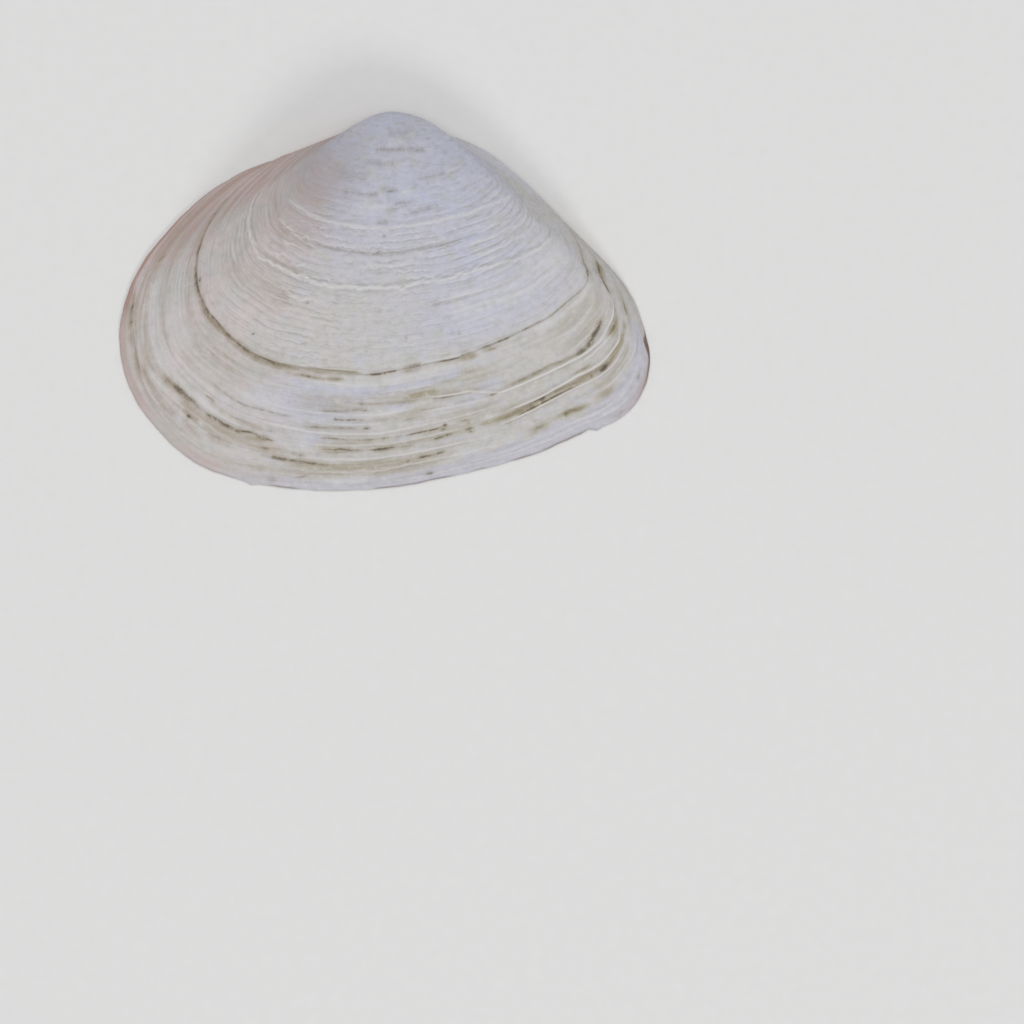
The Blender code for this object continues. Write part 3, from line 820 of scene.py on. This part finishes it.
# the thin film of dirt between the lines, the places that are bleached whiter than the rest, and those
# that stayed clean and cool: each has its strength, its width and its path
FILMS = [
    (1.0, 8.5, [(262, 880), (296, 884), (311, 876), (325, 872), (357, 880), (410, 890)]),
    (0.5, 6, [(288, 826), (304, 820), (333, 812), (385, 818)]),
    (0.45, 12, [(312, 836), (337, 829)]),
    (0.45, 10, [(299, 861), (324, 853)]),
    (0.55, 10, [(262, 880), (291, 872)]),
    (0.6, 8, [(318, 934), (337, 935), (352, 936)]),
    (0.4, 10, [(350, 941), (378, 941)]),
    (0.4, 12, [(294, 932), (322, 930)]),
    (0.5, 11, [(264, 905), (285, 912), (320, 905)]),
    (0.8, 24, [(200, 870), (215, 830), (229, 805), (244, 815)]),
    (0.6, 18, [(256, 840), (270, 845), (286, 845)]),
    (0.5, 10, [(254, 885), (268, 872)]),
    (0.95, 12, [(428, 785), (450, 779), (474, 776)]),
    (0.45, 14, [(445, 776), (475, 772), (508, 760)]),
    (0.5, 5, [(384, 755), (420, 753), (443, 753), (456, 750)]),
    (0.45, 5, [(448, 795), (486, 788), (522, 785)]),
    (0.75, 8, [(508, 711), (537, 714), (562, 721), (594, 728)]),
    (0.6, 5.5, [(520, 731), (545, 736), (588, 734)]),
    (1.15, 9, [(386, 722), (399, 719), (413, 722)]),
    (0.45, 6, [(443, 724), (473, 720)]),
    (0.5, 6, [(364, 719), (393, 716)]),
    (0.4, 18, [(405, 885), (450, 886), (500, 888), (548, 885)]),
    (0.45, 14, [(452, 938), (490, 946), (524, 948)]),
    (0.35, 10, [(505, 903), (545, 905)]),
    (0.35, 10, [(495, 846), (560, 850)]),
    (0.7, 10, [(636, 896), (652, 894), (672, 901), (692, 912)]),
    (0.8, 12, [(634, 910), (659, 914)]),
    (0.7, 11, [(572, 906), (604, 900)]),
    (0.5, 8, [(572, 899), (605, 899), (642, 899)]),
    (0.55, 8, [(596, 931), (630, 930)]),
    (0.45, 10, [(622, 946), (652, 940)]),
    (0.45, 10, [(648, 944), (665, 949), (688, 946), (714, 957)]),
    (0.65, 12, [(684, 946), (713, 955), (735, 963), (755, 972), (774, 985)]),
    (0.9, 8.5, [(560, 724), (629, 728), (657, 721), (704, 723), (735, 739), (775, 748), (807, 770)]),
    (0.55, 18, [(774, 914), (789, 910)]),
    (0.45, 35, [(785, 945), (810, 930), (840, 930)]),
    (0.4, 7, [(650, 450), (687, 450)]),
    (0.45, 12, [(660, 494), (681, 494)]),
    (0.4, 8, [(600, 453), (650, 451)]),
    (0.4, 8, [(600, 512), (655, 514)]),
    (0.3, 30, [(600, 575), (650, 588), (710, 600)]),
    (0.4, 6, [(578, 875), (640, 868)]),
]
BLEACHED = [
    (0.6, 13, [(545, 889), (557, 889)]),
    (0.5, 9, [(462, 812), (487, 811), (512, 818)]),
    (0.5, 11, [(388, 876), (404, 876)]),
    (0.55, 10, [(492, 975), (535, 975)]),
    (0.55, 8, [(650, 913), (663, 914), (700, 932)]),
    (0.5, 8, [(618, 878), (655, 876), (682, 880)]),
    (0.7, 6, [(628, 920), (638, 918)]),
    (0.45, 8, [(262, 726), (283, 729), (296, 728), (340, 712)]),
    (0.35, 9, [(262, 742), (278, 762), (291, 772), (308, 765), (335, 752)]),
    (0.35, 8, [(410, 730), (470, 735), (520, 742), (560, 748)]),
    (0.6, 3, [(241, 824), (250, 826), (273, 827), (289, 835), (303, 829), (321, 822), (337, 824),
        (383, 826)]),
    (0.6, 3, [(265, 858), (274, 873), (293, 872), (306, 867), (321, 860), (333, 865), (347, 871),
        (380, 873)]),
    (0.35, 12, [(420, 189), (510, 189)]),
    (0.34, 50, [(240, 600), (330, 600), (410, 600)]),
    (0.42, 20, [(670, 885), (720, 897), (765, 900)]),
    (0.36, 22, [(570, 815), (660, 820), (730, 820)]),
    (0.45, 10, [(430, 309), (462, 309)]),
    (0.4, 8, [(488, 340), (558, 340)]),
]
CLEAN = [
    (0.8, 16, [(526, 878), (562, 878)]),
    (0.7, 12, [(454, 799), (498, 799)]),
    (0.6, 10, [(390, 821), (430, 818)]),
    (0.8, 14, [(400, 750), (470, 757), (540, 757), (590, 760)]),
    (0.7, 14, [(370, 797), (405, 797)]),
]
# where the lilac lip of the last growth starts
LIP_LINE = [(250, 905), (267, 913), (273, 928), (282, 939), (309, 940), (322, 944), (333, 954),
    (348, 950), (377, 957), (410, 962), (450, 968), (500, 968), (560, 974), (620, 990)]
HALO = 3.0
HALO_SHARE = 0.34
SMALLEST_FADE = 0.008
FADE_TO_WIDTH = 1.5
PATCH_FADE = 0.012
CLEAN_FADE = 0.02
STAIN_SEED = 300
FILM_SEED = 500
BLEACHED_SEED = 600
CLEAN_SEED = 650


def strongest(lines, waver, seed, fade):
    """The strongest of the lines at each place."""
    shares = []
    for number, (strength, width, path) in enumerate(lines):
        shares.append(strength * line(path, width, waver, seed + number, fade))
    return np.maximum.reduce(shares)


def most(*shares):
    """The largest of the shares at each place."""
    return np.maximum.reduce(np.broadcast_arrays(*shares))


stain = np.zeros(along.shape)
for number, (darkness, width, waver, path) in enumerate(STAINS):
    fade = SMALLEST_FADE + FADE_TO_WIDTH * width / 1000
    core = line(path, width, waver, STAIN_SEED + number, fade)
    halo = line(path, HALO * width, waver, STAIN_SEED + number, fade)
    stain = np.maximum(stain, darkness * ((1.0 - HALO_SHARE) * core + HALO_SHARE * halo))

# from here on, ramp and swell run over the growth and over places along the edge, both from 0 to 1

# the film lies on the later years' shell, in patches, and thins out towards the rim
clean = strongest(CLEAN, 2.0, CLEAN_SEED, CLEAN_FADE)
later_years = ramp(growth, ring_there + 0.01, ring_there + 0.03)
scoured_rim = (1.0 - 0.8 * ramp(growth, 0.95, 0.98)) * (0.6 + 0.4 * ramp(growth, 0.80, 0.88))
film = 0.50 * later_years * ramp(patches(17, 34, 400), 0.40, 0.8) * scoured_rim
film = np.maximum(film, strongest(FILMS, 1.0, FILM_SEED, PATCH_FADE)) * (1.0 - 0.85 * clean)

# the front is rosier than the rest, and the last growth at the rear and on the belly side is lilac
front = ramp(along, 0.52, 0.68) * ramp(growth, 0.30, 0.55)
lip_start = trace(LIP_LINE) + 0.004 * wander(450) + 0.012 * (patches(60, 50, 451) - 0.5)
lilac = ramp(growth, lip_start - 0.003, lip_start + 0.007) * ramp(along, 0.235, 0.26)
lilac = lilac * (1.0 - 0.45 * ramp(along, 0.42, 0.50)) * ramp(along, 0.64, 0.56)

# the chalk is cool and pale on the young shell, in the clean places and on the slope of the hinge; on that
# slope the paleness is painted light that offsets the shade falling there
young_cool = ramp(growth, 0.60, 0.33) * (0.75 + 0.25 * patches(12, 10, 402))
young_cool = young_cool * (1.0 - 0.75 * ramp(along, 0.60, 0.70) * ramp(growth, 0.2, 0.4))
rear_pale = 0.9 * swell(along, 0.36, 0.105) * ramp(growth, 0.74, 0.62)
belly_pale = 0.8 * swell(along, 0.56, 0.05) * swell(growth, 0.80, 0.05)
hinge_slope = ramp(along, 0.18, 0.12) * ramp(growth, 0.92, 0.82)
cool = np.clip(most(young_cool, rear_pale, belly_pale, clean, hinge_slope) + 0.6 * lilac, 0.0, 1.0)
# painted light: the slope of the hinge is painted lighter against the shade that falls on it
painted_light_on_slope = 0.5 * hinge_slope * ramp(growth, 0.2, 0.35)
bleached = np.maximum(strongest(BLEACHED, 0.8, BLEACHED_SEED, PATCH_FADE), painted_light_on_slope)

# the crests stand out from the shell as it is when smoothed and are partly worn white, partly a painted
# highlight; the hollows lie under it and get painted shade, and so does the front of the beak
SMOOTHINGS = 6
STANDING_OUT = 0.03 * MM
smooth_height = height.copy()
for _ in range(SMOOTHINGS):
    smooth_height[1:-1] = (smooth_height[:-2] + smooth_height[1:-1] + smooth_height[2:]) / 3.0
stands_out = (height - smooth_height) / STANDING_OUT
crest = 0.6 * ramp(stands_out, 0.15, 1.3)
# painted shade on the front slope of the beak, where that slope turns from the light
painted_front_shade = 0.75 * ramp(along, 0.53, 0.62) * swell(growth, 0.32, 0.12)
hollow = np.maximum(ramp(-stands_out, 0.1, 1.3), painted_front_shade)

# a sliver of the dried brown skin is left on the rear edge, and the rest of the edge is partly brown
SKIN_PLACE = 0.2505
SKIN_LENGTH = 0.0075
SKIN_DEPTH = 0.026
SKIN_BLUR = 0.003
skin_depth = SKIN_DEPTH * swell(along, SKIN_PLACE, SKIN_LENGTH)
skin_start = 1.0 - skin_depth
skin = ramp(growth, skin_start - SKIN_BLUR, skin_start + SKIN_BLUR) * ramp(skin_depth, 0.001, 0.004)
brown_edge = 0.7 * ramp(growth, 0.994, 0.999) * ramp(patches(70, 1, 403), 0.35, 0.8)
brown_edge = brown_edge * (1.0 - 0.75 * ramp(along, 0.55, 0.60)) * ramp(along, 0.22, 0.25)
rear_edge = 0.9 * ramp(growth, 0.990, 0.996) * swell(along, 0.262, 0.018)

# the hinge side, the front of the beak and parts of the edge are tinted a darker rosy brown
rosy_edge = (0.9 + 1.3 * ramp(along, 0.66, 0.71)) * ramp(growth, 0.972, 0.988)
rosy_edge = rosy_edge * ramp(along, 0.55, 0.62) * (0.6 + 0.4 * patches(50, 1, 405))
browned = most(
    1.0 - clear_of_hinge * ramp(along, 0.0, 0.08) * ramp(along, 0.81, 0.745),
    0.6 * ramp(growth, 0.93, 0.99) * ramp(along, 0.22, 0.15),
    0.6 * ramp(along, 0.55, 0.66) * swell(growth, 0.36, 0.17),
    0.6 * ramp(growth, 0.975, 0.992) * swell(along, 0.28, 0.02),
    0.9 * ramp(along, 0.75, 0.80) * ramp(growth, 0.90, 0.98),
    0.6 * ramp(growth, 0.93, 1.0) * swell(along, 0.20, 0.03),
    rosy_edge,
)

# the thin sheets show most on the outer half of the young shell
sheeted = (0.25 + 0.75 * ramp(growth, 0.30, 0.42) * ramp(growth, 0.74, 0.68)) * np.minimum(scaly, 1.0)
sheeted = sheeted * (1.0 - 0.5 * ramp(along, 0.60, 0.70)) * (1.0 - 0.6 * ramp(growth, 0.94, 0.97))

keep("stain", stain)
keep("ragged", ragged)
keep("rosy", 0.15 + 0.85 * front)
keep("sheeted", sheeted)
keep("lilac", lilac)
keep("film", film)
keep("bleached", bleached)
keep("cool", cool)
keep("crest", crest)
keep("worn_crest", worn_crest)
keep("hollow", hollow)
keep("skin", most(skin, brown_edge, rear_edge))
keep("browned", browned)

# the flow says for each point which place of the edge it grew towards, and how far from the beak it
# lies, both in millimetres, so that noise can be drawn out along the growth lines
BEAK_TO_RIM = 31.0
flow = np.zeros((len(points), 3), np.float32)
flow[: outside.shape[0] * COLUMNS, :2] = np.broadcast_to(grown_edge / MM, (*along.shape, 2)).reshape(-1, 2)
flow[: outside.shape[0] * COLUMNS, 2] = (np.broadcast_to(growth, along.shape) * BEAK_TO_RIM).ravel()
valve_mesh.attributes.new("flow", "FLOAT_VECTOR", "POINT").data.foreach_set("vector", flow.ravel())


# The chalk: lime that lost its brown skin and went dull, cool white on the old part and warmer where the
# last years' growth holds a film of dirt. Its surface is dry, with fine growth threads and a fine crumb.

WARM_CHALK = (0.64, 0.615, 0.59, 1.0)
COOL_CHALK = (0.59, 0.60, 0.745, 1.0)
ROSY_CHALK = (0.76, 0.645, 0.64, 1.0)
GREENISH_CHALK = (0.57, 0.59, 0.53, 1.0)
BLUISH_CHALK = (0.61, 0.63, 0.72, 1.0)
LIP_LILAC = (0.615, 0.60, 0.66, 1.0)
# a white for worn and bleached chalk, and also for painted highlights on the crests and sheet edges
WORN_WHITE_AND_PAINTED_HIGHLIGHT = (0.77, 0.755, 0.75, 1.0)
# a grey for random darker tones, and also for painted shade in the grooves and under the sheet edges
GREY_TONE_AND_PAINTED_SHADE = (0.40, 0.385, 0.37, 1.0)
FILM_TINT = (0.38, 0.33, 0.205, 1.0)
FILM_BROWN = (0.44, 0.35, 0.27, 1.0)
ROSY_BROWN = (0.49, 0.32, 0.275, 1.0)
SKIN_BROWN = (0.16, 0.08, 0.045, 1.0)
DIRT = [
    (0.0, (0.43, 0.35, 0.245, 1.0)),
    (0.35, (0.33, 0.26, 0.175, 1.0)),
    (0.65, (0.22, 0.175, 0.12, 1.0)),
    (1.0, (0.115, 0.095, 0.075, 1.0)),
]
OLIVE_DIRT = (0.22, 0.205, 0.115, 1.0)
GREY_DIRT = (0.29, 0.275, 0.28, 1.0)
CREST_CREAM = (0.81, 0.775, 0.735, 1.0)
CHALK_ROUGHNESS = 0.8
FINE_SHEETS_PER_MM = 2.1
FINE_SHEET_RISE = 0.8
RELIEF = 0.04 * MM
CHALK_RELIEF_SHARE = 0.9

chalk, chalk_inputs, bench = new_material("chalk", CHALK_ROUGHNESS)
place = bench.place(1.0 / MM)
blotches = place.noise(0.35, 3.0, 0.55)
hues = place.noise(0.9, 2.0)
mottle = place.noise(1.7, 3.0, 0.6)
crumb = place.noise(5.0, 4.0, 0.65)
grain = place.noise(14.0, 2.0)
flow_wire = bench.attribute("flow", "Vector")


def drawn_out(along_lines, across_lines, detail, roughness=0.5):
    """Noise that follows the growth lines, by how close it is along them and across them."""
    return flow_wire.stretched((along_lines, along_lines, across_lines)).noise(1.0, detail, roughness)


smears = drawn_out(0.10, 0.9, 3.0, 0.55)
streaks = drawn_out(0.22, 3.2, 4.0, 0.6)
threads = drawn_out(0.6, 11.0, 3.0, 0.6)
clots = drawn_out(1.1, 1.9, 3.0, 0.6)
rosy_wire = bench.attribute("rosy")
cool_wire = bench.attribute("cool")

# thin sheets of growth, each ending in a ragged edge with a painted highlight on it and a little painted
# shade under it
rough_edge = drawn_out(0.9, 1.8, 3.0, 0.6) * bench.attribute("ragged") * 1.6
long_bend = drawn_out(0.08, 0.2, 1.0) * 2.0
across_growth = bench.node("ShaderNodeSeparateXYZ", {}, {0: flow_wire}, 2)
sheet_part = bench.maths("FRACT", across_growth * FINE_SHEETS_PER_MM + long_bend + rough_edge)
sheet_fall = (1.0 - sheet_part) * (1.0 / (1.0 - FINE_SHEET_RISE))
sheet = (sheet_part * (1.0 / FINE_SHEET_RISE)).at_most(sheet_fall)
sheet_strength = drawn_out(0.25, 1.3, 2.0).between(0.38, 0.58) * bench.attribute("sheeted")
painted_sheet_highlight = sheet.between(0.70, 1.0) * sheet_strength
painted_sheet_shade = (1.0 - sheet).between(0.66, 1.0) * sheet_strength

# the film is uneven, and browner at the front
film_cover = 0.14 + smears.between(0.35, 0.62) * 0.45 + streaks.between(0.35, 0.60) * 0.75 + crumb * 0.5
film_share = (bench.attribute("film") * film_cover).at_most(0.9)
film_colour = rosy_wire.tint(FILM_TINT, FILM_BROWN)

# the dirt is broken into clots, olive away from the front and grey on the cool parts
uneven = (threads - 0.5) * 1.6 + (streaks - 0.5) * 0.8 + (crumb - 0.5) * 1.8
broken = bench.attribute("stain") * (0.50 + clots.between(0.36, 0.60) * 0.72) * (1.0 + uneven)
dirt = bench.node("ShaderNodeValToRGB", {"stops": DIRT}, {0: broken})
dirt = (smears.between(0.45, 0.60) * (0.5 - rosy_wire * 0.5)).tint(dirt, OLIVE_DIRT)
dirt = (cool_wire * 0.75).tint(dirt, GREY_DIRT)

browned_cover = 0.08 + smears.between(0.35, 0.65) * 0.45 + mottle * 0.45
worn_cover = 0.10 + crumb * 0.5 + smears.between(0.42, 0.58) * 0.45 + clots.between(0.35, 0.60) * 0.4

# what lies over the plain chalk, from the first to the last: its share at each place, and its colour
layers = [
    (blotches.between(0.35, 0.65) * rosy_wire * 0.8, ROSY_CHALK),
    (hues.between(0.50, 0.72) * 0.55, GREENISH_CHALK),
    ((1.0 - hues).between(0.50, 0.72) * (0.55 - rosy_wire * 0.42), BLUISH_CHALK),
    (bench.attribute("lilac") * (0.55 + threads * 0.5 + mottle * 0.3), LIP_LILAC),
    (streaks.between(0.48, 0.75) * (0.34 + cool_wire * 0.12), GREY_TONE_AND_PAINTED_SHADE),
    ((1.0 - mottle).between(0.48, 0.75) * 0.30, GREY_TONE_AND_PAINTED_SHADE),
    (film_share, film_colour),
    (threads.between(0.52, 0.80) * 0.30, WORN_WHITE_AND_PAINTED_HIGHLIGHT),
    (mottle.between(0.50, 0.78) * 0.40, WORN_WHITE_AND_PAINTED_HIGHLIGHT),
    (crumb.between(0.52, 0.75) * 0.34, WORN_WHITE_AND_PAINTED_HIGHLIGHT),
    # painted shade under the edges of the thin sheets
    (painted_sheet_shade * 0.45, GREY_TONE_AND_PAINTED_SHADE),
    # painted shade in the grooves and on the front of the beak
    (bench.attribute("hollow") * 0.45, GREY_TONE_AND_PAINTED_SHADE),
    (bench.attribute("browned") * browned_cover, ROSY_BROWN),
    ((broken * 1.5).at_most(0.93), dirt),
    # painted highlight along the edges of the thin sheets
    (painted_sheet_highlight * 0.50, WORN_WHITE_AND_PAINTED_HIGHLIGHT),
    # real bleached patches, and painted light on the slope of the hinge
    (bench.attribute("bleached") * (0.5 + mottle * 0.9), WORN_WHITE_AND_PAINTED_HIGHLIGHT),
    # the crests: partly worn white, partly a painted highlight
    (bench.attribute("crest") * (0.30 + crumb * 0.6), WORN_WHITE_AND_PAINTED_HIGHLIGHT),
    (bench.attribute("worn_crest") * worn_cover, CREST_CREAM),
    (bench.attribute("skin") * (0.55 + crumb * 0.6), SKIN_BROWN),
]
colour = cool_wire.tint(WARM_CHALK, COOL_CHALK)
for share, layer_colour in layers:
    colour = share.tint(colour, layer_colour)
plug(colour, chalk_inputs["Base Color"])
plug(0.72 + crumb * 0.2 - bench.attribute("crest") * 0.06, chalk_inputs["Roughness"])
relief = threads * 0.45 + crumb * 0.7 + grain * 0.25 + sheet * sheet_strength * 0.65
plug(relief.bumps(CHALK_RELIEF_SHARE, RELIEF), chalk_inputs["Normal"])


# The lining of the inside is the same lime laid down smooth, white to cream with a soft gloss. It is dull
# on the two muscle scars and along the line that the clam's skirt left.

LINING_WHITE = (0.76, 0.74, 0.71, 1.0)
LINING_CREAM = (0.68, 0.63, 0.56, 1.0)
LINING_DULL = (0.57, 0.54, 0.51, 1.0)
LINING_ROUGHNESS = 0.35
LINING_RELIEF_SHARE = 0.4
# the middle and the half widths of each scar, the points of the line and its width, in mm
MUSCLE_SCARS = [((-16.2, -13.2), (2.3, 4.0)), ((14.2, -14.2), (2.9, 3.4))]
SCAR_SIDE = (1.05, 0.85)
SKIRT_LINE = [(-16.9, -17.5), (-17.0, -20.5), (-14.0, -24.6), (-8.5, -27.0), (-2.0, -27.7), (5.0, -26.5),
              (11.5, -24.2), (13.8, -22.2), (8.5, -21.0), (5.2, -18.9), (6.6, -16.9), (12.6, -17.2)]
SKIRT_WIDTH = 0.45
SKIRT_SHARE = 0.7

inner = np.concatenate([rim, bowl])[..., :2] / MM
scars = np.zeros(inner.shape[:2])
for scar_middle, scar_size in MUSCLE_SCARS:
    fall = np.linalg.norm((inner - scar_middle) / scar_size, axis=-1)
    scars = np.maximum(scars, ramp(fall, *SCAR_SIDE))
skirt_distance = np.full(inner.shape[:2], np.inf)
for line_start, line_end in zip(np.array(SKIRT_LINE[:-1]), np.array(SKIRT_LINE[1:])):
    run = line_end - line_start
    part = np.clip((inner - line_start) @ run / (run @ run), 0.0, 1.0)
    to_line = np.linalg.norm(inner - line_start - part[..., None] * run, axis=-1)
    skirt_distance = np.minimum(skirt_distance, to_line)
keep("dull", 0.0, np.maximum(scars, SKIRT_SHARE * swell(skirt_distance, 0.0, SKIRT_WIDTH)))

lining, lining_inputs, bench = new_material("smooth_lining", LINING_ROUGHNESS)
place = bench.place(1.0 / MM)
clouds = place.noise(0.25, 4.0, 0.6)
dull = bench.attribute("dull")
lining_colour = clouds.between(0.4, 0.7).tint(LINING_WHITE, LINING_CREAM)
plug((dull * 0.75).tint(lining_colour, LINING_DULL), lining_inputs["Base Color"])
plug(0.28 + clouds * 0.3 + dull * 0.25, lining_inputs["Roughness"])
plug(place.noise(1.5, 3.0).bumps(LINING_RELIEF_SHARE, RELIEF), lining_inputs["Normal"])

# the chalk covers the outside and the rounded edge, and the lining covers the rest
valve_mesh.materials.append(chalk)
valve_mesh.materials.append(lining)
indices = np.zeros(len(valve_mesh.polygons), np.int32)
indices[(len(outside) + 1) * COLUMNS : (len(rows) - 1) * COLUMNS] = 1
indices[(len(rows) - 1) * COLUMNS + 1 :: 2] = 1
valve_mesh.polygons.foreach_set("material_index", indices)

valve = bpy.data.objects.new("clam_valve", valve_mesh)
bpy.context.scene.collection.objects.link(valve)
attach(valve, "root")
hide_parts("left_valve")
